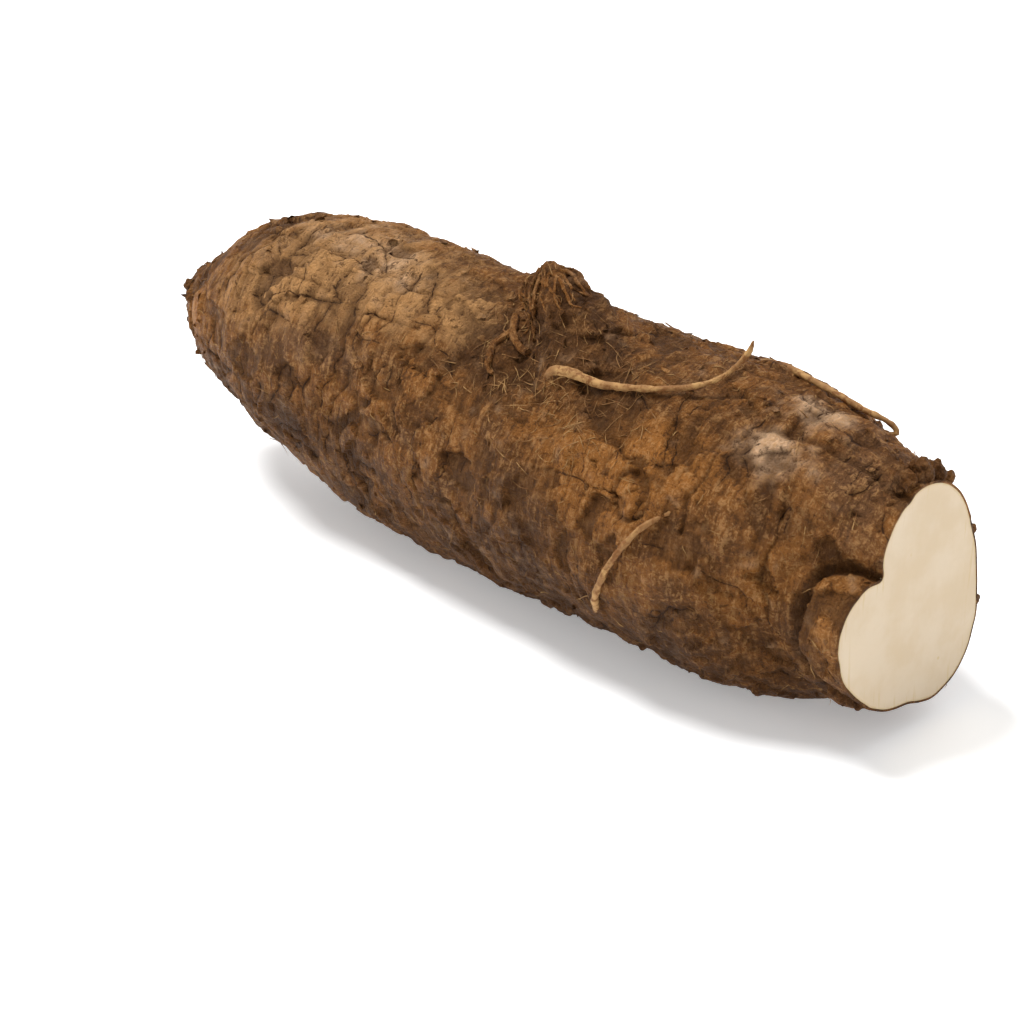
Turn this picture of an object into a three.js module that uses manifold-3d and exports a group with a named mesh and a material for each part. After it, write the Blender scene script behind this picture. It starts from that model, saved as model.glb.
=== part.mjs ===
// A kudzu root: one long starchy tuber lying on its side, whole at its tip and cut square across at the
// other end, with a second lobe grown into it beside the cut, the stump of a side shoot on top and three
// rootlets. It grew as one piece, so it is one solid.
//
// Millimetres. X runs along the root from its tip to the cut face, Y across it, and Z up from the surface
// that it lies on. The origin is under the middle of the root, on that surface. Angles round the root
// start at +Y and turn towards +Z, so 90 degrees is its top and 180 degrees its -Y side.

import * as THREE from "three";
import { mergeVertices } from "three/addons/utils/BufferGeometryUtils.js";
import Module from "manifold-3d";

const wasm = await Module();
wasm.setup();

// Driving dimensions.
const LENGTH = 312; // tip to cut face
const TIP_X = -LENGTH / 2;
const CUT_X = LENGTH / 2;
const PAST_CUT = 14; // how far the root is drawn past the knife's plane before it is cut
const BODY_SIDES = 44;
const BODY_STEPS = 60;
const LOBE_SIDES = 30;
const LOBE_STEPS = 16;
const SHOOT_SIDES = 22;
const SHOOT_STEPS = 9;
const ROOTLET_SIDES = 8;
const ROOTLET_STEP = 5; // length of a rootlet's steps
const WELD = 1e-3; // vertices closer than this are one
const HALVINGS = 24; // enough to find a place along the root exactly
const FULL_GIRTH = 30; // radius from which swellings stand out in full: they fade towards the thin tip

const radians = THREE.MathUtils.degToRad;

// The body's sections from the tip on: where each is along the root, its centre, and its half width and
// half height.
const BODY = [
  { x: TIP_X, y: 0, z: 53, wide: 3, high: 4 },
  { x: TIP_X + 4, y: 1, z: 53, wide: 9, high: 10 },
  { x: TIP_X + 12, y: 2, z: 53, wide: 17, high: 17 },
  { x: TIP_X + 24, y: 2, z: 54, wide: 25, high: 24 },
  { x: TIP_X + 40, y: 2, z: 55, wide: 32, high: 32 },
  { x: TIP_X + 58, y: 1, z: 55, wide: 37, high: 39 },
  { x: TIP_X + 82, y: 0, z: 54, wide: 41, high: 43 },
  { x: TIP_X + 108, y: 0, z: 52, wide: 43, high: 46 },
  { x: TIP_X + 138, y: 0, z: 50, wide: 44, high: 47 },
  { x: TIP_X + 168, y: 0, z: 48, wide: 45, high: 47 },
  { x: TIP_X + 200, y: 0, z: 47, wide: 46, high: 47.5 },
  { x: TIP_X + 230, y: 0, z: 47, wide: 46, high: 47.5 },
  { x: TIP_X + 256, y: 0, z: 46.5, wide: 46, high: 47 },
  { x: TIP_X + 280, y: 3, z: 45, wide: 40, high: 44.5, lean: 4 },
  { x: TIP_X + 298, y: 5, z: 44, wide: 30, high: 40, lean: 8 },
  { x: CUT_X, y: 8, z: 43, wide: 24, high: 37, lean: 10 },
  { x: CUT_X + PAST_CUT, y: 9, z: 42, wide: 22, high: 35, lean: 10 },
];

// The lobe's sections, from inside the body on: its section leans, so each has the angle of its width too.
const LOBE = [
  { x: CUT_X - 56, y: 5, z: 42, wide: 22, high: 20, lean: 142 },
  { x: CUT_X - 34, y: -1, z: 38, wide: 28, high: 24, lean: 142 },
  { x: CUT_X - 16, y: -6, z: 35, wide: 31, high: 24, lean: 142 },
  { x: CUT_X, y: -8, z: 32.5, wide: 29, high: 20, lean: 142 },
  { x: CUT_X + PAST_CUT, y: -8, z: 32, wide: 27, high: 18, lean: 142 },
];

// Swellings and hollows of the body: where each is along the root and round it, how far it reaches both
// ways, and how far it stands out or, below zero, sinks in.
const SWELLINGS = [
  { x: -40, angle: 268, reach: 60, turn: 34, out: 6 }, // the underside that it lies on
  { x: CUT_X, angle: 312, reach: 40, turn: 28, out: 3 },
  { x: -110, angle: 150, reach: 30, turn: 40, out: 2 },
  { x: -48, angle: 190, reach: 26, turn: 40, out: -3 },
  { x: 62, angle: 165, reach: 34, turn: 45, out: 3 },
  { x: 2, angle: 125, reach: 24, turn: 25, out: -3 },
  { x: 40, angle: 20, reach: 36, turn: 40, out: 3 },
  { x: -60, angle: 330, reach: 34, turn: 40, out: 3 },
];

// The smallest turn between two angles, in degrees.
function turnBetween(a, b) {
  return Math.abs(THREE.MathUtils.euclideanModulo(a - b + 180, 360) - 180);
}

function swellingAt(x, angle) {
  let out = 0;
  for (const s of SWELLINGS) {
    const along = (x - s.x) / s.reach;
    const round = turnBetween(angle, s.angle) / s.turn;
    out += s.out * Math.exp(-along * along - round * round);
  }
  return out;
}

// A smooth limb through its sections: the middle at a share of its length, and the skin there at an angle.
function limb(sections, swelling) {
  const centres = new THREE.CatmullRomCurve3(sections.map((s) => new THREE.Vector3(s.x, s.y, s.z)));
  const girths = new THREE.CatmullRomCurve3(sections.map((s) => new THREE.Vector3(s.wide, s.high, s.lean ?? 0)));
  const middle = (share) => centres.getPoint(share);
  const rim = (share, angle, lift = 0) => {
    const centre = centres.getPoint(share);
    const { x: wide, y: high, z: lean } = girths.getPoint(share);
    const leant = radians(angle - lean);
    const reach = (wide * high) / Math.hypot(high * Math.cos(leant), wide * Math.sin(leant));
    const radius = reach + swelling(centre.x, angle) * Math.min(1, reach / FULL_GIRTH) + lift;
    const a = radians(angle);
    return new THREE.Vector3(centre.x, centre.y + radius * Math.cos(a), centre.z + radius * Math.sin(a));
  };
  return { middle, rim };
}

// The share of a limb's length at which its middle is at x.
function shareAt(x, { middle }) {
  let low = 0;
  let high = 1;
  for (let i = 0; i < HALVINGS; i++) {
    const half = (low + high) / 2;
    if (middle(half).x < x) {
      low = half;
    } else {
      high = half;
    }
  }
  return (low + high) / 2;
}

const body = limb(BODY, swellingAt);
const lobe = limb(LOBE, () => 0);

// Bends a unit cylinder into a closed root with that middle and that rim.
function grow(sides, steps, { middle, rim }) {
  const shape = new THREE.CylinderGeometry(1, 1, 1, sides, steps);
  const points = shape.getAttribute("position");
  const p = new THREE.Vector3();
  for (let i = 0; i < points.count; i++) {
    p.fromBufferAttribute(points, i);
    const share = p.y + 0.5;
    const angle = THREE.MathUtils.radToDeg(Math.atan2(p.x, p.z));
    const spread = Math.hypot(p.x, p.z);
    const placed = middle(share).lerp(rim(share, angle), spread);
    points.setXYZ(i, placed.x, placed.y, placed.z);
  }
  return solidOf(shape);
}

// A closed geometry as a solid.
function solidOf(shape) {
  shape.deleteAttribute("normal");
  shape.deleteAttribute("uv");
  const welded = mergeVertices(shape, WELD);
  return new wasm.Manifold(
    new wasm.Mesh({
      numProp: 3,
      vertProperties: welded.getAttribute("position").array,
      triVerts: new Uint32Array(welded.index.array),
    }),
  );
}

// A solid as a geometry.
function geometryOf(solid) {
  const mesh = solid.getMesh();
  const shape = new THREE.BufferGeometry();
  shape.setAttribute("position", new THREE.BufferAttribute(mesh.vertProperties, 3));
  shape.setIndex(new THREE.BufferAttribute(mesh.triVerts, 1));
  shape.computeVertexNormals();
  return shape;
}

// A round root that follows a curve, with a radius given at each share of its length.
function growAlong(path, sides, steps, radiusAt) {
  const frames = path.computeFrenetFrames(steps);
  const middle = (share) => path.getPointAt(share);
  const rim = (share, angle) => {
    const step = Math.round(share * steps);
    const a = radians(angle);
    return middle(share)
      .addScaledVector(frames.normals[step], radiusAt(share) * Math.cos(a))
      .addScaledVector(frames.binormals[step], radiusAt(share) * Math.sin(a));
  };
  return grow(sides, steps, { middle, rim });
}

// The stump of a side shoot, which leans towards the tip and is as blunt as it broke off.
const SHOOT = { foot: 27, end: 6, taper: 1.3 }; // radius at its foot and end, and how fast it narrows
function shoot() {
  const path = new THREE.CatmullRomCurve3([
    new THREE.Vector3(44, -9, 72),
    new THREE.Vector3(35, -8, 88),
    new THREE.Vector3(25, -5, 100),
    new THREE.Vector3(16, -3, 106),
  ]);
  const radiusAt = (share) => SHOOT.end + (SHOOT.foot - SHOOT.end) * Math.pow(1 - share, SHOOT.taper);
  return growAlong(path, SHOOT_SIDES, SHOOT_STEPS, radiusAt);
}

// Rootlets: each lies along the body from where it grows out of it. Their points are the place along the
// root, the angle round it and the height of the rootlet's middle over the skin.
const ROOTLETS = [
  // the long one below the stump of the shoot, which lies along the root and lifts its end off it
  {
    route: [
      [34, 124, -4],
      [42, 123, 1.5],
      [56, 121, 2],
      [73, 116, 2],
      [84, 110, 3],
      [90, 103, 5.5],
      [94, 97, 9],
      [96, 92, 13.5],
    ],
    thick: 2,
    thin: 0.8,
  },
  // the short one on the -Y side, which leaves the skin and comes back to it
  {
    route: [
      [69, 214, -3],
      [74, 200, 1],
      [79, 188, 2.5],
      [85, 176, 3],
      [91, 165, 2],
      [98, 154, -2],
    ],
    thick: 1.2,
    thin: 0.9,
  },
  // the one on the +Y side of the top
  {
    route: [
      [84, 68, -3],
      [94, 70, 1],
      [106, 71, 1.5],
      [117, 72, 1.5],
      [126, 71, 2.5],
      [132, 68, 4],
    ],
    thick: 1.3,
    thin: 0.9,
  },
];

function rootlet({ route, thick, thin }) {
  const points = route.map(([x, angle, lift]) => body.rim(shareAt(x, body), angle, lift));
  const path = new THREE.CatmullRomCurve3(points);
  const steps = Math.round(path.getLength() / ROOTLET_STEP);
  return growAlong(path, ROOTLET_SIDES, steps, (share) => thick + (thin - thick) * share);
}

// A block that takes away what lies past a plane of the finished root.
function blockAt(x, z) {
  const side = 2 * LENGTH;
  const block = new THREE.BoxGeometry(side, side, side);
  block.translate(x, 0, z);
  return solidOf(block);
}

function root() {
  let solid = grow(BODY_SIDES, BODY_STEPS, body).add(grow(LOBE_SIDES, LOBE_STEPS, lobe)).add(shoot());
  for (const one of ROOTLETS) {
    solid = solid.add(rootlet(one));
  }
  const pastKnife = blockAt(CUT_X + LENGTH, 0);
  const underSurface = blockAt(0, -LENGTH);
  return solid.subtract(pastKnife).subtract(underSurface);
}

// Sets a geometry on the surface, with its box centred over the origin.
function setDown(shape) {
  shape.computeBoundingBox();
  const middle = shape.boundingBox.getCenter(new THREE.Vector3());
  return shape.translate(-middle.x, -middle.y, -shape.boundingBox.min.z);
}

const skin = new THREE.MeshStandardMaterial({ color: 0x8a5f38, roughness: 0.85, metalness: 0 });
const kudzuRoot = new THREE.Mesh(setDown(geometryOf(root())), skin);
kudzuRoot.name = "kudzu_root";

const group = new THREE.Group();
group.add(kudzuRoot);

export default group;
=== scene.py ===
import math
import random

import bmesh
import bpy
import numpy as np
from mathutils import Matrix, Vector, kdtree, noise
from mathutils.bvhtree import BVHTree


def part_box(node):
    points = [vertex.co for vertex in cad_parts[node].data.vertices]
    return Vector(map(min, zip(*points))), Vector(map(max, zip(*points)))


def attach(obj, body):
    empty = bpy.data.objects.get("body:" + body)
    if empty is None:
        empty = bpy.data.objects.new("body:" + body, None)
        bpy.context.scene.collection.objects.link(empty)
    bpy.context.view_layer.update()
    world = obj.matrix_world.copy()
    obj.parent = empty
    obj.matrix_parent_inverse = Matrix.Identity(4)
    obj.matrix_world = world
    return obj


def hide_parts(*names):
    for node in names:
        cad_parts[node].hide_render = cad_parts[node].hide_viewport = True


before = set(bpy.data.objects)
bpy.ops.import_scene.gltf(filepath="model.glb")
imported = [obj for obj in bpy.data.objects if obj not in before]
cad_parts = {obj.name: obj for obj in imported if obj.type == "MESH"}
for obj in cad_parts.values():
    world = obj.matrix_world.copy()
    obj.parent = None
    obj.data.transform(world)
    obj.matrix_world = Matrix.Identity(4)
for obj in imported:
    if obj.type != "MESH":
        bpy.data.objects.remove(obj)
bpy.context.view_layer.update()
scene = bpy.context.scene
MM = 0.001

# ---------------------------------------------------------------------------------------------------
# Camera: at table height and a little above, off the root's cut end.
AIM = Vector((2.7, -4.3, 22.2)) * MM
AZIMUTH = math.radians(44)
ELEVATION = math.radians(26)
DISTANCE = 1.0
LENS = 110
SENSOR = 36

towards_camera = Vector(
    (
        math.sin(AZIMUTH) * math.cos(ELEVATION),
        -math.cos(AZIMUTH) * math.cos(ELEVATION),
        math.sin(ELEVATION),
    )
)
camera = bpy.data.objects.new("camera", bpy.data.cameras.new("camera"))
camera.data.lens = LENS
camera.data.sensor_width = SENSOR
camera.location = AIM + towards_camera * DISTANCE
camera.rotation_euler = towards_camera.to_track_quat("Z", "Y").to_euler()
scene.collection.objects.link(camera)
scene.camera = camera

# ---------------------------------------------------------------------------------------------------
# Studio: a white table top with no edge in sight, lit a little from below, in an even white room with
# three broad lights.
FLOOR_HALF = 5.0
FLOOR_DROP = 0.05 * MM

floor_mesh = bmesh.new()
bmesh.ops.create_grid(floor_mesh, x_segments=1, y_segments=1, size=FLOOR_HALF)
bmesh.ops.translate(floor_mesh, verts=floor_mesh.verts, vec=(0, 0, -FLOOR_DROP))
floor = bpy.data.objects.new("floor", bpy.data.meshes.new("floor"))
floor_mesh.to_mesh(floor.data)
floor_mesh.free()
scene.collection.objects.link(floor)
white_top = bpy.data.materials.new("white_top")
white_top.use_nodes = True
white_top.node_tree.nodes["Principled BSDF"].inputs["Base Color"].default_value = (0.93, 0.93, 0.93, 1)
white_top.node_tree.nodes["Principled BSDF"].inputs["Roughness"].default_value = 0.9
white_top.node_tree.nodes["Principled BSDF"].inputs["Specular IOR Level"].default_value = 0.1
white_top.node_tree.nodes["Principled BSDF"].inputs["Emission Color"].default_value = (1, 1, 1, 1)
white_top.node_tree.nodes["Principled BSDF"].inputs["Emission Strength"].default_value = 0.28
floor.data.materials.append(white_top)

room = bpy.data.worlds.new("room")
room.use_nodes = True
room.node_tree.nodes["Background"].inputs["Color"].default_value = (1, 1, 1, 1)
room.node_tree.nodes["Background"].inputs["Strength"].default_value = 0.50
scene.world = room
scene.view_settings.view_transform = "Standard"


def soft_light(name, towards, strength, spread):
    """A broad even light from one side: it falls off nowhere, so the table top stays white."""
    lamp = bpy.data.objects.new(name, bpy.data.lights.new(name, "SUN"))
    lamp.data.energy = strength
    lamp.data.angle = math.radians(spread)
    lamp.rotation_euler = Vector(towards).to_track_quat("Z", "Y").to_euler()
    scene.collection.objects.link(lamp)


soft_light("key_light", (-0.46, -0.14, 1.0), 3.9, 22)
soft_light("front_light", (0.9, -0.75, 0.55), 0.38, 60)
soft_light("back_light", (-0.1, 0.9, 0.8), 0.7, 50)

# ---------------------------------------------------------------------------------------------------
# Skin: the corky bark of the tuber, its second lobe and the broken side shoot on top, grown as one.
# It is cracked into plates near the tip, ringed with thin creases and crusted with dry earth.
low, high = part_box("kudzu_root")
TIP_X = low.x
CUT_X = high.x
PAST_CUT = 5 * MM
SIDES = 200
RINGS = 240
VOXEL = 1.02 * MM
EASING = 5

# A line inside the tuber, from which its skin can be seen all round.
SPINE_X = [-156, -100, 0, 100, 130, 156]
SPINE_Y = [2, 3, 2, 2, 3, 3]
SPINE_Z = [53, 55, 49, 46, 42, 39]

cad_skin = bmesh.new()
cad_skin.from_mesh(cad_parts["kudzu_root"].data)
bmesh.ops.remove_doubles(cad_skin, verts=cad_skin.verts, dist=0.01 * MM)
cad_tree = BVHTree.FromBMesh(cad_skin)
cad_skin.free()


def spine(x):
    y = np.interp(x / MM, SPINE_X, SPINE_Y)
    z = np.interp(x / MM, SPINE_X, SPINE_Z)
    return Vector((x, y * MM, z * MM))


def outwards(angle):
    """Away from the spine: 90 degrees is up and 180 degrees is -Y."""
    return Vector((0, math.cos(math.radians(angle)), math.sin(math.radians(angle))))


def angle_round(place):
    away = place - spine(place.x)
    return math.degrees(math.atan2(away.z, away.y)) % 360


def add_object(name, bm):
    mesh = bpy.data.meshes.new(name)
    bm.to_mesh(mesh)
    bm.free()
    made = bpy.data.objects.new(name, mesh)
    scene.collection.objects.link(made)
    return made


def mesh_of(made):
    """The object's shape with its modifiers and curves worked out, as a mesh."""
    return bpy.data.meshes.new_from_object(made.evaluated_get(bpy.context.evaluated_depsgraph_get()))


def strands(name, runs, thickness, sides=2, steps=3):
    """Tapered round strands: each run is a list of (place, share of the thickness)."""
    curve = bpy.data.curves.new(name, "CURVE")
    curve.dimensions = "3D"
    curve.bevel_depth = thickness
    curve.bevel_resolution = sides
    curve.use_fill_caps = True
    curve.resolution_u = steps
    for run in runs:
        spline = curve.splines.new("NURBS")
        spline.points.add(len(run) - 1)
        spline.order_u = min(4, len(run))
        spline.use_endpoint_u = True
        for point, (place, share) in zip(spline.points, run):
            point.co = (*place, 1)
            point.radius = share
    drawn = bpy.data.objects.new(name, curve)
    scene.collection.objects.link(drawn)
    mesh = mesh_of(drawn)
    bpy.data.objects.remove(drawn)
    return mesh


grown = bmesh.new()
bmesh.ops.create_uvsphere(grown, u_segments=SIDES, v_segments=RINGS, radius=1)
bmesh.ops.rotate(grown, verts=grown.verts, matrix=Matrix.Rotation(math.radians(90), 3, "Y"))
for v in grown.verts:
    share = 1 - math.acos(max(-1, min(1, v.co.x))) / math.pi
    x = TIP_X + (CUT_X + PAST_CUT - TIP_X) * share
    across = Vector((0, v.co.y, v.co.z))
    inside = min(max(x, TIP_X + 0.3 * MM), CUT_X - 0.3 * MM)
    if across.length < 1e-4:
        v.co = Vector((x, *spine(inside).yz))
        continue
    skin_at = cad_tree.ray_cast(spine(inside), across.normalized())[0]
    v.co = Vector((x, skin_at.y, skin_at.z))
bmesh.ops.smooth_vert(grown, verts=grown.verts, factor=0.5, use_axis_x=False, use_axis_y=True, use_axis_z=True)

# The side shoot's stump, from deep in the tuber to its blunt end, and smaller bumps of the skin.
SHOOT = [((44, -7, 72), 27), ((35, -6, 87), 18), ((26, -4, 97), 12.5), ((19, -3, 102.5), 9), ((14, -3, 104), 8.2)]
stump = strands("stump", [[(Vector(p) * MM, r) for p, r in SHOOT]], MM, sides=8)
grown.from_mesh(stump)
MOUNDS = [(85, 153, 7, 2.4), (58, 146, 9, 2), (20, 150, 10, 1), (-30, 140, 14, 1), (104, 128, 8, 1.5)]
for x, angle, radius, rise in MOUNDS:
    top = cad_tree.ray_cast(spine(x * MM), outwards(angle))[0]
    sunk = top - outwards(angle) * (radius - rise) * MM
    bmesh.ops.create_icosphere(grown, subdivisions=3, radius=radius * MM, matrix=Matrix.Translation(sunk))
rough_cast = add_object("rough_cast", grown)
melt = rough_cast.modifiers.new("melt", "REMESH")
melt.mode = "VOXEL"
melt.voxel_size = VOXEL
skin_mesh = bmesh.new()
skin_mesh.from_mesh(mesh_of(rough_cast))
bpy.data.objects.remove(rough_cast)
for _ in range(EASING):
    bmesh.ops.smooth_vert(
        skin_mesh, verts=skin_mesh.verts, factor=0.5, use_axis_x=True, use_axis_y=True, use_axis_z=True
    )


def step(edge_0, edge_1, value):
    t = max(0.0, min(1.0, (value - edge_0) / (edge_1 - edge_0)))
    return t * t * (3 - 2 * t)


def turn_between(a, b):
    return abs((a - b + 180) % 360 - 180)


def near(p, angle, x0, angle0, reach, turn):
    """1 at a spot on the root and falling off round it: x in mm, angles in degrees."""
    turned = turn_between(angle, angle0) / turn
    along = (p.x - x0) / reach
    return math.exp(-along * along - turned * turned)


def crease_field(p, along, across, offset):
    return noise.noise(Vector((p.x / along + offset, p.y / across, p.z / across)))


def signed_gap(field, p, direction):
    """How far p is from the line where the field is nought, in mm, with its sign."""
    slope = (field(p + direction * 0.6) - field(p - direction * 0.6)) / 1.2
    return max(-6.0, min(6.0, field(p) / max(abs(slope), 0.012)))


def flake_height(q, size, seed):
    """Overlapping scales of bark: each has its own height and tilt, so it ends in a small step."""
    cell = Vector((q.x / size + seed, q.y / size, q.z / size))
    middle = noise.voronoi(cell)[1][0]
    level = noise.cell(middle * 7.3)
    tilt = noise.cell_vector(middle * 3.1) - Vector((0.5, 0.5, 0.5))
    return level - 0.5 + (cell - middle).dot(tilt)


# Furrows: how deep and how wide, and the places along the root and angles round it that they pass. The
# first divides the lobe from the body, the last goes round an eye, and the others are creases.
FURROWS = [
    (3.4, 1.7, [(158, 133), (150, 136), (143, 147), (139.5, 163), (139.5, 188), (145, 208), (153, 228)]),
    (1.3, 1.4, [(110, 108), (124, 103), (137, 100), (158, 97)]),
    (1.5, 2.0, [(1, 92), (8, 112), (24, 124), (38, 134)]),
    (1.2, 0.7, [(93, 112), (96, 126), (94, 141)]),
    (1.2, 0.7, [(108, 112), (106, 128), (103, 146), (105, 158)]),
    (1.0, 0.7, [(72, 121), (75, 134), (73, 148)]),
    (1.1, 0.7, [(126, 120), (130, 138), (128, 158), (131, 182)]),
    (1.1, 0.7, [(-12, 82), (-16, 104), (-13, 128), (-17, 150)]),
    (1.2, 0.7, [(-36, 80), (-39, 103), (-35, 126), (-38, 148)]),
    (1.1, 0.7, [(-56, 82), (-58, 104), (-55, 130)]),
    (1.1, 0.7, [(-76, 84), (-80, 108), (-76, 134), (-79, 156)]),
    (1.1, 0.7, [(-98, 86), (-101, 116), (-97, 148)]),
    (1.0, 0.7, [(-110, 104), (-80, 112), (-52, 108), (-30, 113), (-14, 109)]),
    (1.0, 0.7, [(-96, 132), (-66, 127), (-40, 131), (-18, 127)]),
]
EYE_X, EYE_ANGLE, EYE_REACH, EYE_TURN = 85, 153, 6.5, 9
eye_ring = [k * math.pi / 5 for k in range(11)]
FURROWS.append((1.4, 1.0, [(EYE_X + EYE_REACH * math.cos(t), EYE_ANGLE + EYE_TURN * math.sin(t)) for t in eye_ring]))
STRIP = 0.75  # mm that one degree round the root is


def furrow_depth(p, angle):
    deepest = 0.0
    for depth, width, route in FURROWS:
        along = [x for x, _ in route]
        if not min(along) - 3 * width < p.x < max(along) + 3 * width:
            continue
        gap = 99.0
        for (x1, a1), (x2, a2) in zip(route, route[1:]):
            start = Vector((x1, a1 * STRIP))
            run = Vector((x2, a2 * STRIP)) - start
            to_here = Vector((p.x, angle * STRIP)) - start
            share = max(0.0, min(1.0, to_here.dot(run) / run.length_squared))
            gap = min(gap, (to_here - run * share).length)
        deepest = max(deepest, depth * math.exp(-((gap / width) ** 2)))
    return deepest


# Where the bark is other than plain brown, and where a highlight is painted on it: (place along, angle round, reach,
# turn, strength).
TAN = [(-70, 112, 34, 36, 1), (-30, 112, 26, 22, 0.8), (-3, 112, 12, 14, 0.8), (150, 166, 8, 26, 0.35), (-95, 140, 24, 26, 0.4), (-60, 260, 60, 60, 0.3),
       (20, 60, 40, 16, 0.5), (-90, 40, 50, 30, 0.6), (60, 10, 40, 30, 0.5)]
ORANGE = [(55, 144, 12, 14, 0.9), (62, 165, 14, 14, 0.6), (82, 135, 14, 16, 0.9), (85, 155, 12, 13, 1),
          (103, 133, 14, 13, 0.7), (-126, 168, 16, 30, 0.7), (33, 143, 10, 12, 0.5), (100, 300, 50, 40, 0.3),
          (130, 160, 9, 22, 0.4), (149, 165, 6, 30, 0.7)]
# Painted highlight: pale cream spots on the top where the polished skin catches the light.
HIGHLIGHT_SPOTS = [(117, 115, 9, 10, 1.5), (119, 88, 10, 8, 1.2), (-66, 98, 20, 16, 0.5), (-40, 108, 14, 12, 0.5)]
# Dry earth by the side shoot and at the tip; the entries at angles 190 to 270 make the lower side darker all along, and
# the one at 141 darkens the lobe's furrow.
EARTH_AND_UNDERSIDE = [(38, 110, 30, 24, 1), (12, 126, 16, 22, 0.9), (66, 126, 16, 12, 0.6), (45, 172, 26, 20, 0.7),
         (141, 172, 7, 26, 0.8), (-118, 215, 30, 24, 0.8), (-60, 190, 40, 16, 0.6), (0, 20, 60, 50, 0.5),
         (-156, 120, 12, 200, 0.7), (60, 215, 120, 30, 0.9), (0, 270, 200, 40, 0.9)]
DUSK = [(138, 100, 11, 26, 0.8), (150, 118, 9, 26, 0.5), (100, 66, 24, 12, 0.5), (-75, 168, 22, 16, 0.6), (-86, 126, 14, 6, 0.9), (-52, 152, 18, 9, 0.9), (-112, 112, 10, 6, 0.7),
        (70, 95, 30, 12, 0.5)]


def painted(spots, p, angle, ragged):
    total = 0.0
    for x0, angle0, reach, turn, strength in spots:
        total += strength * near(p, angle, x0, angle0, reach, turn)
    return step(0.1, 1.0, total + ragged)


class BarkMarks:
    """The facts about its bark that a piece carries on its vertices for its finish to follow, with where highlight and
    shade are painted on it.
    """

    def __init__(self, bm):
        self.ring = bm.verts.layers.float.new("ring_gap")
        self.long = bm.verts.layers.float.new("long_gap")
        self.tones = bm.verts.layers.float_vector.new("tones")
        self.more = bm.verts.layers.float_vector.new("more_tones")

    def write(self, v, p, angle, ring_gap=6.0, long_gap=6.0, shade_and_dark_bark=0.0):
        q = p + noise.noise_vector(p / 9) * 2
        ragged = 0.4 * noise.noise(q / 6 + Vector((5, 5, 5))) + 0.25 * noise.noise(q / 2.4)
        v[self.ring] = ring_gap
        v[self.long] = long_gap
        v[self.tones] = (
            painted(TAN, p, angle, ragged),
            painted(ORANGE, p, angle, ragged),
            painted(HIGHLIGHT_SPOTS, p, angle, ragged),
        )
        v[self.more] = (painted(EARTH_AND_UNDERSIDE, p, angle, ragged), painted(DUSK, p, angle, ragged), shade_and_dark_bark)


skin_mesh.normal_update()
marks = BarkMarks(skin_mesh)
moved = []
for v in skin_mesh.verts:
    p = v.co / MM
    angle = angle_round(v.co)
    sway = noise.noise_vector(p / 30) * 7
    drift = noise.noise_vector(p / 7) * 2.4
    q = p + sway + drift
    tangent = Vector((0, -v.normal.z, v.normal.y)).normalized()
    ring_gap = signed_gap(lambda s: crease_field(s, 8, 40, 0), q, Vector((1, 0, 0)))
    long_gap = signed_gap(lambda s: crease_field(s, 50, 13, 40), q, tangent)
    tip_part = step(10, -50, p.x)
    shoot_part = near(p, angle, 28, 100, 20, 30)
    ring_on = step(-0.05, 0.25, noise.noise(p / 13 + Vector((9, 0, 0))) + 0.2 * tip_part - shoot_part)
    long_on = step(0.0, 0.25, noise.noise(p / 15 + Vector((0, 30, 0))) + 0.35 * tip_part - 0.15 - shoot_part)
    ring = ring_on * math.exp(-((ring_gap / 1.0) ** 2))
    split = long_on * math.exp(-((long_gap / 1.0) ** 2))

    # Lumps, then scales of bark, wrinkles round the root, fibres along it, and crumbs.
    lumps = 1.5 * noise.noise(p / 38) + 1.2 * noise.noise(p / 17) + 0.8 * noise.noise(p / 8.5)
    crumbly = 0.45 + 0.55 * step(-0.3, 0.4, noise.noise(p / 24 + Vector((3, 3, 0))))
    neck_part = step(122, 138, p.x)
    crumbly = max(crumbly * (0.75 - 0.5 * tip_part) * (1 - 0.8 * neck_part), shoot_part)
    scales = 0.8 * flake_height(q, 10, 0) + 0.55 * crumbly * flake_height(q + drift, 4.6, 50)
    wrinkles = 0.75 * noise.noise(Vector((q.x / 2.7, q.y / 11, q.z / 11)))
    fibres = 0.4 * noise.noise(Vector((q.x / 11, q.y / 2.0, q.z / 2.0)))
    fibre_part = max(shoot_part, near(p, angle, 140, 110, 24, 60), 0.25)
    crumbs = crumbly * (0.5 * noise.noise(p / 2.9 + Vector((2, 0, 0))) + 0.4 * noise.noise(p / 1.9))
    knots = shoot_part * (1.3 * noise.noise(p / 5.5 + Vector((0, 0, 7))) + 0.9 * noise.noise(q / 3))
    fine = scales + wrinkles * (1 - fibre_part) + fibres * fibre_part + crumbs - 0.7 * ring - 0.7 * split
    away_from_cut = step(CUT_X / MM + 1, CUT_X / MM - 6, p.x)
    rise = (lumps + knots) * (0.3 + 0.7 * away_from_cut) + fine * (0.3 + 0.7 * away_from_cut)
    furrow = furrow_depth(p + drift * 0.6, angle)
    moved.append(v.co + v.normal * (rise - furrow) * MM)

    # Painted shade: the skin is darkened where its fine relief sinks low and along the furrows.
    marks.write(
        v,
        p,
        angle,
        ring_gap if ring_on > 0.4 else math.copysign(6.0, ring_gap),
        long_gap if long_on > 0.4 else math.copysign(6.0, long_gap),
        max(step(-0.2, -1.5, fine), step(0.25, 1.5, furrow)),
    )
for v, place in zip(skin_mesh.verts, moved):
    v.co = Vector((place.x, place.y, max(place.z, 0.0)))

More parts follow.
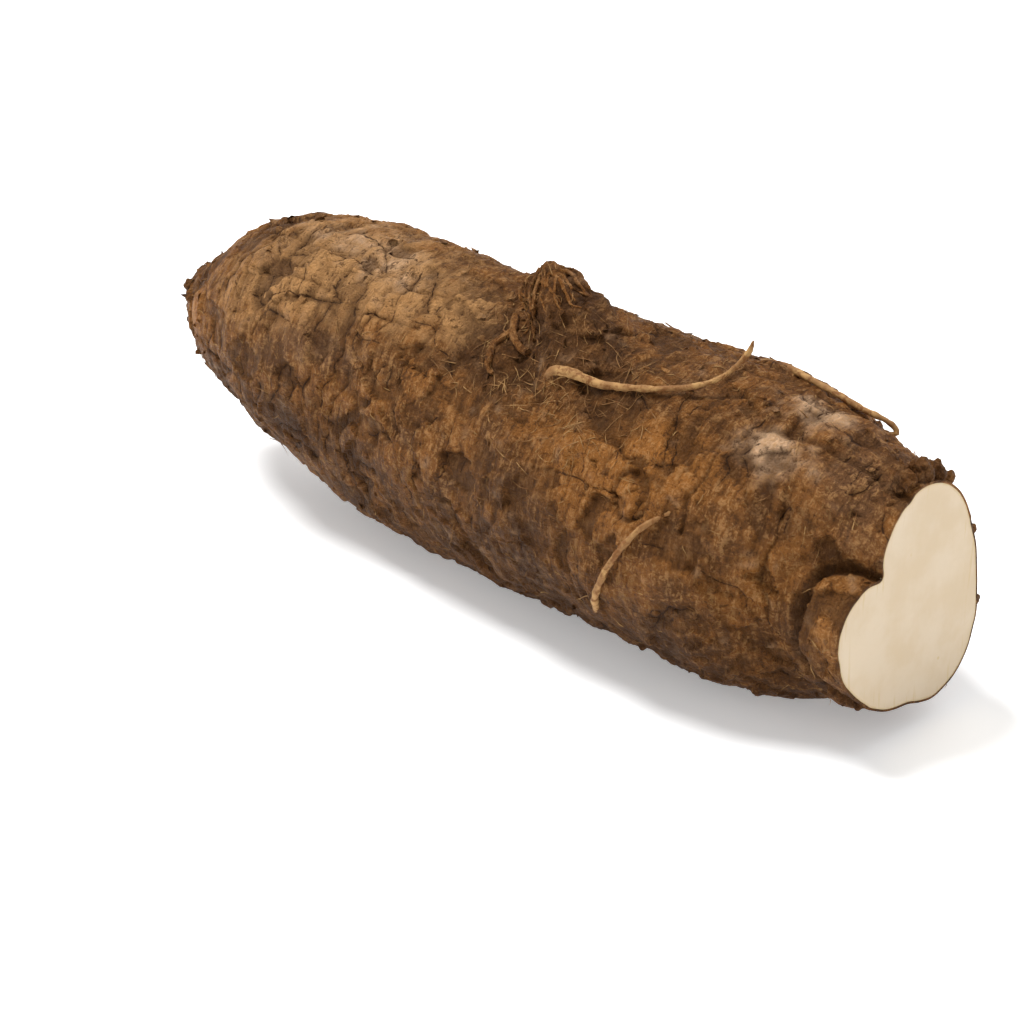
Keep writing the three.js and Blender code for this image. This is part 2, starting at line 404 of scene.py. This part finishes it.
# The knife's cut: the skin ends there in a thin rim round a shallow seat for the flesh.
RIM = 0.75 * MM
SEAT = 1.0 * MM
bmesh.ops.bisect_plane(
    skin_mesh,
    geom=skin_mesh.verts[:] + skin_mesh.edges[:] + skin_mesh.faces[:],
    plane_co=(CUT_X, 0, 0),
    plane_no=(1, 0, 0),
    clear_outer=True,
)
cut_edges = [e for e in skin_mesh.edges if e.is_boundary]
cut_verts = list({v for e in cut_edges for v in e.verts})
for _ in range(6):
    eased = {}
    for v in cut_verts:
        beside = [e.other_vert(v).co for e in v.link_edges if e.is_boundary]
        eased[v] = v.co * 0.5 + (beside[0] + beside[1]) * 0.25
    for v, place in eased.items():
        v.co = place
end_face = bmesh.ops.contextual_create(skin_mesh, geom=cut_edges)["faces"][0]
bmesh.ops.recalc_face_normals(skin_mesh, faces=skin_mesh.faces)
bmesh.ops.inset_region(skin_mesh, faces=[end_face], thickness=RIM, use_even_offset=True, use_boundary=True)
rim_loop = [v.co.copy() for v in end_face.verts]
bmesh.ops.inset_region(skin_mesh, faces=[end_face], thickness=0.02 * MM, depth=-SEAT, use_boundary=True)
for face in skin_mesh.faces:
    face.smooth = True
root_skin = add_object("root_skin", skin_mesh)
skin_tree = BVHTree.FromObject(root_skin, bpy.context.evaluated_depsgraph_get())
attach(root_skin, "root")
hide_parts("kudzu_root")


class Shader:
    """Builds one material's nodes: each call adds a node and gives back its output."""

    def __init__(self, name):
        self.material = bpy.data.materials.new(name)
        self.material.use_nodes = True
        self.tree = self.material.node_tree
        self.surface = self.tree.nodes["Principled BSDF"]
        self.place = self.tree.nodes.new("ShaderNodeTexCoord").outputs["Object"]

    def put(self, socket, value):
        if isinstance(value, bpy.types.NodeSocket):
            self.tree.links.new(value, socket)
        elif isinstance(value, tuple) and len(value) == 3 and socket.type == "RGBA":
            socket.default_value = (*value, 1)
        else:
            socket.default_value = value

    def set(self, name, value):
        self.put(self.surface.inputs[name], value)

    def stretched(self, x, y, z):
        node = self.tree.nodes.new("ShaderNodeMapping")
        node.inputs["Scale"].default_value = (x, y, z)
        self.put(node.inputs["Vector"], self.place)
        return node.outputs["Vector"]

    def noise(self, place, scale, detail=4, roughness=0.6, distortion=0):
        node = self.tree.nodes.new("ShaderNodeTexNoise")
        self.put(node.inputs["Vector"], place)
        node.inputs["Scale"].default_value = scale
        node.inputs["Detail"].default_value = detail
        node.inputs["Roughness"].default_value = roughness
        node.inputs["Distortion"].default_value = distortion
        return node.outputs["Fac"]

    def shaken(self, place, scale, reach):
        """The place moved about by up to reach, so that what is drawn there has ragged edges."""
        node = self.tree.nodes.new("ShaderNodeTexNoise")
        self.put(node.inputs["Vector"], place)
        node.inputs["Scale"].default_value = scale
        node.inputs["Detail"].default_value = 3
        shake = self.tree.nodes.new("ShaderNodeVectorMath")
        shake.operation = "MULTIPLY_ADD"
        self.put(shake.inputs[0], node.outputs["Color"])
        shake.inputs[1].default_value = (reach, reach, reach)
        self.put(shake.inputs[2], place)
        return shake.outputs["Vector"]

    def cells(self, place, scale, feature="DISTANCE_TO_EDGE"):
        node = self.tree.nodes.new("ShaderNodeTexVoronoi")
        node.feature = feature
        self.put(node.inputs["Vector"], place)
        node.inputs["Scale"].default_value = scale
        return node.outputs["Distance"]

    def attribute(self, name):
        node = self.tree.nodes.new("ShaderNodeAttribute")
        node.attribute_name = name
        return node

    def parts(self, vector):
        node = self.tree.nodes.new("ShaderNodeSeparateXYZ")
        self.put(node.inputs[0], vector)
        return node.outputs

    def math(self, operation, a, b=0.0, c=0.0):
        node = self.tree.nodes.new("ShaderNodeMath")
        node.operation = operation
        for socket, value in zip(node.inputs, (a, b, c)):
            self.put(socket, value)
        return node.outputs[0]

    def between(self, value, start, end):
        """0 where value is at start, 1 where it is at end."""
        node = self.tree.nodes.new("ShaderNodeMapRange")
        node.interpolation_type = "SMOOTHSTEP"
        self.put(node.inputs["Value"], value)
        node.inputs["From Min"].default_value = start
        node.inputs["From Max"].default_value = end
        return node.outputs["Result"]

    def mix(self, share, a, b, blend="MIX"):
        node = self.tree.nodes.new("ShaderNodeMix")
        node.data_type = "RGBA"
        node.blend_type = blend
        self.put(node.inputs["Factor"], share)
        self.put(node.inputs[6], a)
        self.put(node.inputs[7], b)
        return node.outputs[2]

    def bump(self, height, distance, strength=1.0, normal=None):
        node = self.tree.nodes.new("ShaderNodeBump")
        node.inputs["Distance"].default_value = distance
        node.inputs["Strength"].default_value = strength
        self.put(node.inputs["Height"], height)
        if normal is not None:
            self.put(node.inputs["Normal"], normal)
        return node.outputs["Normal"]


BROWN = (0.345, 0.132, 0.027)
UMBER = (0.165, 0.062, 0.013)
BUFF = (0.74, 0.385, 0.145)
RUST = (0.47, 0.178, 0.033)
HIGHLIGHT_CREAM = (0.95, 0.60, 0.35)
EARTH_AND_SHADE_BROWN = (0.078, 0.030, 0.007)
DUSKY = (0.21, 0.096, 0.038)
CREASE_SHADE = (0.040, 0.017, 0.007)

bark = Shader("bark")
tones = bark.parts(bark.attribute("tones").outputs["Vector"])
more = bark.parts(bark.attribute("more_tones").outputs["Vector"])
ragged_place = bark.shaken(bark.place, 260, 0.0035)
blotch = bark.noise(bark.place, 70, 5, 0.62)
mottle = bark.noise(ragged_place, 240, 6, 0.7)
crumble = bark.noise(ragged_place, 520, 6, 0.72)
grain = bark.noise(bark.stretched(160, 800, 800), 1, 5, 0.65, 0.6)
grit = bark.noise(ragged_place, 1150, 4, 0.7)
wrinkle = bark.noise(bark.stretched(620, 130, 130), 1, 5, 0.62, 0.8)
scale_edge = bark.between(bark.cells(ragged_place, 230, "DISTANCE_TO_EDGE"), 0.0, 0.1)
ring_line = bark.between(bark.math("ABSOLUTE", bark.attribute("ring_gap").outputs["Fac"]), 0.34, 0.04)
long_line = bark.between(bark.math("ABSOLUTE", bark.attribute("long_gap").outputs["Fac"]), 0.34, 0.04)
lines = bark.math("MULTIPLY", bark.math("MAXIMUM", ring_line, long_line), bark.between(crumble, 0.60, 0.44))

height = bark.math("MULTIPLY_ADD", grit, 0.75, bark.math("MULTIPLY", crumble, 0.8))
height = bark.math("ADD", height, bark.math("MULTIPLY", mottle, 0.6))
height = bark.math("ADD", height, bark.math("MULTIPLY", wrinkle, 0.9))
height = bark.math("ADD", height, bark.math("MULTIPLY", grain, 0.3))
height = bark.math("ADD", height, bark.math("MULTIPLY", scale_edge, 0.06))
height = bark.math("SUBTRACT", height, bark.math("MULTIPLY", lines, 0.35))
# Painted shade: the low spots of the fine relief's height are darkened to earth brown.
deep = bark.between(height, 1.68, 1.46)
# Painted highlight: the high spots of the fine relief are lightened to buff.
proud = bark.between(height, 1.70, 1.93)
crest_highlight = bark.math("MULTIPLY", proud, bark.math("MULTIPLY_ADD", more[0], -0.3, 0.48))
pit_shade = bark.math("MULTIPLY", deep, bark.math("MULTIPLY_ADD", more[0], 0.2, 0.7))

colour = bark.mix(bark.between(blotch, 0.38, 0.64), BROWN, UMBER)
colour = bark.mix(bark.math("MULTIPLY", tones[0], 0.85), colour, BUFF)
colour = bark.mix(bark.math("MULTIPLY", tones[1], 0.85), colour, RUST)
colour = bark.mix(bark.math("MULTIPLY", more[1], 0.75), colour, DUSKY)
# Darker by the side shoot, at the tip, along the underside and in the lobe's furrow.
colour = bark.mix(bark.math("MULTIPLY", more[0], 0.72), colour, EARTH_AND_SHADE_BROWN)
# Painted highlight: pale cream on the polished top of the skin.
colour = bark.mix(bark.math("MULTIPLY", tones[2], 0.92), colour, HIGHLIGHT_CREAM)
# Painted highlight on the crests of the fine relief.
colour = bark.mix(crest_highlight, colour, BUFF)
# Painted shade in the pits of the fine relief.
colour = bark.mix(pit_shade, colour, EARTH_AND_SHADE_BROWN)
# Painted shade in the skin's hollows and furrows; on flakes and clods the same channel is their darker bark.
colour = bark.mix(bark.math("MULTIPLY", more[2], 0.7), colour, EARTH_AND_SHADE_BROWN)
# Painted shade along the thin creases round and along the root.
colour = bark.mix(bark.math("MULTIPLY", lines, 0.55), colour, CREASE_SHADE)
bark.set("Base Color", colour)
bark.set("Roughness", bark.math("MULTIPLY_ADD", crumble, 0.35, 0.42))
bark.set("Specular IOR Level", 0.14)
bark.set("Normal", bark.bump(height, 4.2 * MM, 1.0))
root_skin.data.materials.append(bark.material)

# ---------------------------------------------------------------------------------------------------
# Flesh: the starchy inside of the root where the knife went through, cream and nearly flat.
FLESH_THICK = 0.9 * MM
FLESH_GRID = 1.6 * MM

flesh_mesh = bmesh.new()
flesh_mesh.faces.new([flesh_mesh.verts.new(place) for place in rim_loop])
reach_low = Vector((min(c[i] for c in rim_loop) for i in range(3)))
reach_high = Vector((max(c[i] for c in rim_loop) for i in range(3)))
for axis in (1, 2):
    at = reach_low[axis] + FLESH_GRID
    while at < reach_high[axis]:
        plane = Vector((CUT_X, 0, 0))
        plane[axis] = at
        across = Vector((0, 0, 0))
        across[axis] = 1
        everything = flesh_mesh.verts[:] + flesh_mesh.edges[:] + flesh_mesh.faces[:]
        bmesh.ops.bisect_plane(flesh_mesh, geom=everything, dist=0.005 * MM, plane_co=plane, plane_no=across)
        at += FLESH_GRID
edge_marks = flesh_mesh.verts.layers.float.new("rim_gap")
rim_tree = kdtree.KDTree(len(rim_loop))
for i, place in enumerate(rim_loop):
    rim_tree.insert(place, i)
rim_tree.balance()
for v in flesh_mesh.verts:
    gap = rim_tree.find(v.co)[2] / MM
    v[edge_marks] = gap
    v.co.x += (0.16 * noise.noise(v.co / (11 * MM)) + 0.05 * noise.noise(v.co / (3 * MM)) - 0.12) * MM * step(0, 3, gap)
back_side = bmesh.ops.extrude_face_region(flesh_mesh, geom=flesh_mesh.faces[:], use_keep_orig=True)
for v in [g for g in back_side["geom"] if isinstance(g, bmesh.types.BMVert)]:
    v.co.x = CUT_X - FLESH_THICK
bmesh.ops.recalc_face_normals(flesh_mesh, faces=flesh_mesh.faces)
cut_flesh = add_object("cut_flesh", flesh_mesh)
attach(cut_flesh, "root")

CREAM = (0.55, 0.43, 0.285)
IVORY = (0.59, 0.48, 0.345)
STRAW = (0.48, 0.34, 0.14)
flesh = Shader("flesh")
rim_gap = flesh.attribute("rim_gap").outputs["Fac"]
cloud = flesh.noise(flesh.place, 45, 4, 0.55)
dust = flesh.noise(flesh.place, 500, 4, 0.6)
colour = flesh.mix(flesh.between(cloud, 0.38, 0.62), IVORY, CREAM)
colour = flesh.mix(flesh.math("MULTIPLY", flesh.between(rim_gap, 3.2, 0.2), 0.45), colour, CREAM)
colour = flesh.mix(flesh.math("MULTIPLY", flesh.between(rim_gap, 0.9, 0.1), 0.6), colour, STRAW)
colour = flesh.mix(flesh.math("MULTIPLY", flesh.between(dust, 0.55, 0.75), 0.3), colour, CREAM)
specks = flesh.cells(flesh.place, 210, "F1")
rare = flesh.between(flesh.noise(flesh.place, 130, 2, 0.5), 0.62, 0.7)
streaks = flesh.noise(flesh.stretched(300, 700, 45), 1, 3, 0.6)
streak = flesh.math("MULTIPLY", flesh.between(streaks, 0.58, 0.66), flesh.between(rim_gap, 7.5, 1.5))
colour = flesh.mix(flesh.math("MULTIPLY", streak, 0.35), colour, STRAW)
speck = flesh.math("MULTIPLY", flesh.between(specks, 0.16, 0.08), rare)
colour = flesh.mix(flesh.math("MULTIPLY", speck, 0.55), colour, STRAW)
flesh.set("Base Color", colour)
flesh.set("Roughness", 0.55)
flesh.set("Specular IOR Level", 0.3)
flesh.set("Subsurface Weight", 0.12)
flesh.set("Subsurface Radius", (0.004, 0.003, 0.002))
flesh.set("Normal", flesh.bump(dust, 0.12 * MM, 0.6))
cut_flesh.data.materials.append(flesh.material)

# ---------------------------------------------------------------------------------------------------
# Rootlets: three thin side roots that grow out of the skin and lie along it, tan and fibrous.
# Each point is its place along the root, the angle round it, how high over the skin, and its thickness.
ROOTLETS = {
    "main_rootlet": [
        (37, 125, -2, 1.7), (40, 123.5, 0.8, 1.75), (47, 122, 1.5, 1.6), (56, 121, 1.6, 1.3), (66, 118.5, 1.6, 1.1),
        (75, 115, 1.8, 0.95), (84, 110, 2.6, 0.85), (90, 103, 4.6, 0.8), (94, 97, 8.5, 0.75), (95.5, 94, 11, 1.0),
        (96, 93, 13, 0.95), (96.3, 92.3, 14.8, 0.35),
    ],
    "low_rootlet": [
        (68, 216, -2, 1.3), (73, 203, 0.4, 1.25), (78, 191, 1.6, 1.1), (83, 180, 2.2, 1.0), (89, 169, 1.8, 0.95),
        (94, 160, 0.9, 0.9), (100, 152, -1.2, 0.7),
    ],
    "top_rootlet": [
        (78, 66, -2, 1.2), (88, 68, 0.4, 1.2), (97, 70, 0.9, 1.1), (107, 71, 1.0, 1.05), (117, 72, 1.2, 1.0),
        (125, 72, 2.4, 0.95), (130, 69, 3.4, 0.9), (133, 66, 3.0, 0.9), (134, 66, 1.2, 0.8), (131, 67, 0.5, 0.6),
    ],
}


def on_skin(x, angle, lift):
    here = spine(x * MM)
    away = outwards(angle)
    hit = skin_tree.ray_cast(here, away)
    return hit[0] + away * lift * MM


tan_fibre = Shader("tan_fibre")
TAN_FIBRE = (0.235, 0.115, 0.037)
PALE_FIBRE = (0.40, 0.225, 0.08)
run_of_grain = tan_fibre.noise(tan_fibre.place, 420, 5, 0.65, 0.5)
worn = tan_fibre.noise(tan_fibre.place, 130, 3, 0.6)
colour = tan_fibre.mix(tan_fibre.between(worn, 0.4, 0.62), TAN_FIBRE, PALE_FIBRE)
colour = tan_fibre.mix(tan_fibre.between(run_of_grain, 0.56, 0.36), colour, UMBER)
tan_fibre.set("Base Color", colour)
tan_fibre.set("Roughness", 0.75)
tan_fibre.set("Specular IOR Level", 0.3)
tan_fibre.set("Normal", tan_fibre.bump(run_of_grain, 0.5 * MM, 0.8))

for name, route in ROOTLETS.items():
    run = [(on_skin(x, angle, lift), thick) for x, angle, lift, thick in route]
    drawn = bmesh.new()
    drawn.from_mesh(strands(name, [run], MM, sides=3))
    bmesh.ops.subdivide_edges(drawn, edges=drawn.edges[:], cuts=1, use_grid_fill=True)
    drawn.normal_update()
    for v in drawn.verts:
        p = v.co / MM
        v.co += v.normal * (0.35 * noise.noise(p / 3.2) + 0.2 * noise.noise(p / 1.2)) * MM
    for face in drawn.faces:
        face.smooth = True
    rootlet = add_object(name, drawn)
    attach(rootlet, "root")
    rootlet.data.materials.append(tan_fibre.material)

# ---------------------------------------------------------------------------------------------------
# Root hairs: the thinnest roots, dried and broken short. They grow out of the skin and cling to it,
# thickest on and below the side shoot, where stouter ones run from its end down its flanks.
chance = random.Random(31)


def scatter():
    return Vector((chance.uniform(-1, 1), chance.uniform(-1, 1), chance.uniform(-1, 1)))


def crawl(start, heading, length, points, lift, end_lift, wander):
    """Places along a strand that starts at the skin and follows it, waving about as it goes."""
    here = start
    places = []
    for i in range(points):
        share = i / (points - 1)
        foot, facing = skin_tree.find_nearest(here)[:2]
        heading = heading - facing * heading.dot(facing) + scatter() * wander
        heading.normalize()
        height = lift * min(1, 4 * share) + (end_lift - lift) * share**3
        places.append(foot + facing * (height - 0.25 * (share == 0)) * MM)
        here = foot + heading * length / (points - 1) * MM
    return places


# How many hairs, the stretch along the root and round it that they grow on, and their longest.
HAIRS = [
    (150, (-2, 72), (98, 142), 12), (70, (20, 90), (120, 178), 9), (60, (-154, -112), (0, 360), 9),
    (70, (-140, 150), (62, 112), 8), (110, (-110, 152), (110, 235), 8), (60, (-110, 150), (0, 90), 9),
    (26, (138, 154), (60, 240), 7), (14, (150, 155), (-75, 40), 8),
]
hair_runs = []
for count, along, angles, longest in HAIRS:
    for _ in range(count):
        start = on_skin(chance.uniform(*along), chance.uniform(*angles), 0)
        thick = chance.uniform(0.5, 1.3)
        places = crawl(start, scatter(), chance.uniform(3, longest), 5, 0.25, chance.choice([0.2, 0.5, 2.2]), 0.45)
        hair_runs.append([(place, thick * taper) for place, taper in zip(places, (1, 1, 0.8, 0.6, 0.25))])
hair_mesh = strands("root_hairs", hair_runs, 0.15 * MM, sides=0, steps=2)

SHOOT_END = Vector((16, -3, 110)) * MM
FIBRE_EARTH = 0.15
shoot_runs = []
for i in range(64):
    round_it = math.radians(i * 360 / 64 * 2.6)
    heading = Vector((math.cos(round_it), math.sin(round_it), -0.4))
    start = SHOOT_END + heading * chance.uniform(2.5, 6.5) * MM
    stout = chance.choice([0.35, 0.5, 0.7, 1.0])
    places = crawl(start, heading, chance.uniform(9, 26), 9, 0.3 * stout, 0.1, 0.32)
    shoot_runs.append([(place, stout * (1 - 0.07 * k)) for k, place in enumerate(places)])
collar = [on_skin(x, angle, lift) for x, angle, lift in [(9, 104, 0.8), (12, 112, 1.2), (17, 117, 1.3), (24, 118, 1)]]
shoot_runs.append([(place, 1.6) for place in collar])
flank = [on_skin(x, angle, 0.7) for x, angle in [(12, 110), (9, 116), (10, 122), (13, 126), (12, 130), (16, 131)]]
shoot_runs.append([(place, share) for place, share in zip(flank, (1.3, 1.5, 1.3, 1.6, 1.2, 0.7))])
fibre_mesh = strands("shoot_fibres", shoot_runs, 0.85 * MM, sides=1, steps=3)

for name, mesh, waver, finish in (("root_hairs", hair_mesh, 0.0, tan_fibre), ("shoot_fibres", fibre_mesh, 0.5, bark)):
    drawn = bmesh.new()
    drawn.from_mesh(mesh)
    drawn.normal_update()
    fibre_marks = BarkMarks(drawn)
    for v in drawn.verts:
        v.co += v.normal * waver * noise.noise(v.co / (1.6 * MM)) * MM
        v.co.z = max(v.co.z, 0.0)
        fibre_marks.write(v, v.co / MM, angle_round(v.co))
        v[fibre_marks.more] = (FIBRE_EARTH, 0, 0)
    for face in drawn.faces:
        face.smooth = True
    made = add_object(name, drawn)
    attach(made, "root")
    made.data.materials.append(finish.material)

# ---------------------------------------------------------------------------------------------------
# Bark flakes: thin scales of the dead outer bark that have come loose at one end and curled up.
# They are most ragged at the tip, along the top and by the cut, and stay joined to the skin.
# How many flakes, the stretch along the root and round it that they are on, their size and curl.
FLAKES = [
    (70, (-154, -118), (20, 300), 4.6, 1.5), (14, (-124, 60), (50, 66), 7, 2.4), (12, (-156, -144), (60, 250), 6, 1.8), (80, (-120, 10), (66, 122), 4.6, 1.0),
    (60, (4, 50), (96, 135), 3.6, 1.0), (50, (40, 150), (66, 112), 4.2, 1.0),
    (130, (-120, 140), (112, 235), 4.2, 0.8), (40, (138, 154), (40, 250), 3.4, 0.9),
    (80, (-120, 150), (-60, 66), 4.6, 0.9),
]
ROUND_A_FLAKE = 8
flake_mesh = bmesh.new()
flake_marks = BarkMarks(flake_mesh)
for count, along, angles, longest, curl in FLAKES:
    for _ in range(count):
        spot = on_skin(chance.uniform(*along), chance.uniform(*angles), 0)
        foot, facing = skin_tree.find_nearest(spot)[:2]
        heading = Vector((chance.choice([-1.4, 1]), 0, 0)) + scatter() * 0.9
        heading = (heading - facing * heading.dot(facing)).normalized()
        sideways = facing.cross(heading)
        length = chance.uniform(0.4, 1) * longest
        width = length * chance.uniform(0.6, 1.05)
        lifted = curl * chance.uniform(0.1, 1.2)
        shade = chance.choice([0, 0, 0.25, 0.7])

        def corner(turn, reach, thick):
            u = math.cos(turn) * length / 2 * reach
            w = math.sin(turn) * width / 2 * reach
            free = max(0, u / length + 0.5)
            height = lifted * free**2 - 0.35 * (1 - free) + thick - 0.25 * abs(w)
            return flake_mesh.verts.new(foot + (heading * u + sideways * w + facing * height) * MM)

        outer, inner = [], []
        for k in range(ROUND_A_FLAKE):
            turn = 2 * math.pi * k / ROUND_A_FLAKE
            outer.append(corner(turn, chance.uniform(0.6, 1.25), 0))
            inner.append(corner(turn, 0.55, 0.3))
        top, under = corner(0, 0, 0.4), corner(0, 0, -0.1)
        for k in range(ROUND_A_FLAKE):
            n = (k + 1) % ROUND_A_FLAKE
            flake_mesh.faces.new((outer[k], outer[n], inner[n], inner[k]))
            flake_mesh.faces.new((inner[k], inner[n], top))
            flake_mesh.faces.new((outer[n], outer[k], under))
        for v in outer + inner + [top, under]:
            flake_marks.write(v, v.co / MM, angle_round(v.co), shade_and_dark_bark=shade)

# Clods of bark left on the edge by the knife: place along, angle round, lift and radius.
CLODS = [(151.5, 92, 1.2, 3.4), (152, 83, 1.7, 3.8), (152.5, 74, 1.3, 3.2), (153.6, 66, 0.8, 2.2), (153.6, 28, 0.9, 1.9),
         (153.8, 346, 0.9, 1.9), (153.5, 312, 0.5, 1.5), (153.4, 300, 0.3, 1.2),
         (153, 232, 0.0, 1.5), (60, 168, -0.5, 2.4), (-150, 150, 0, 2.2), (-152, 60, 0, 2.4)]
for x, angle, lift, radius in CLODS:
    middle = on_skin(x, angle, lift)
    lump = bmesh.ops.create_icosphere(flake_mesh, subdivisions=3, radius=radius * MM)
    for v in lump["verts"]:
        swell = 1 + 0.5 * noise.noise(v.co / (1.6 * MM) + middle * 90)
        v.co = middle + v.co * swell
        v.co.x = min(v.co.x, CUT_X + 0.3 * MM)
        flake_marks.write(v, v.co / MM, angle, shade_and_dark_bark=0.8)
for v in flake_mesh.verts:
    v.co.z = max(v.co.z, 0.0)
bark_flakes = add_object("bark_flakes", flake_mesh)
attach(bark_flakes, "root")
bark_flakes.data.materials.append(bark.material)
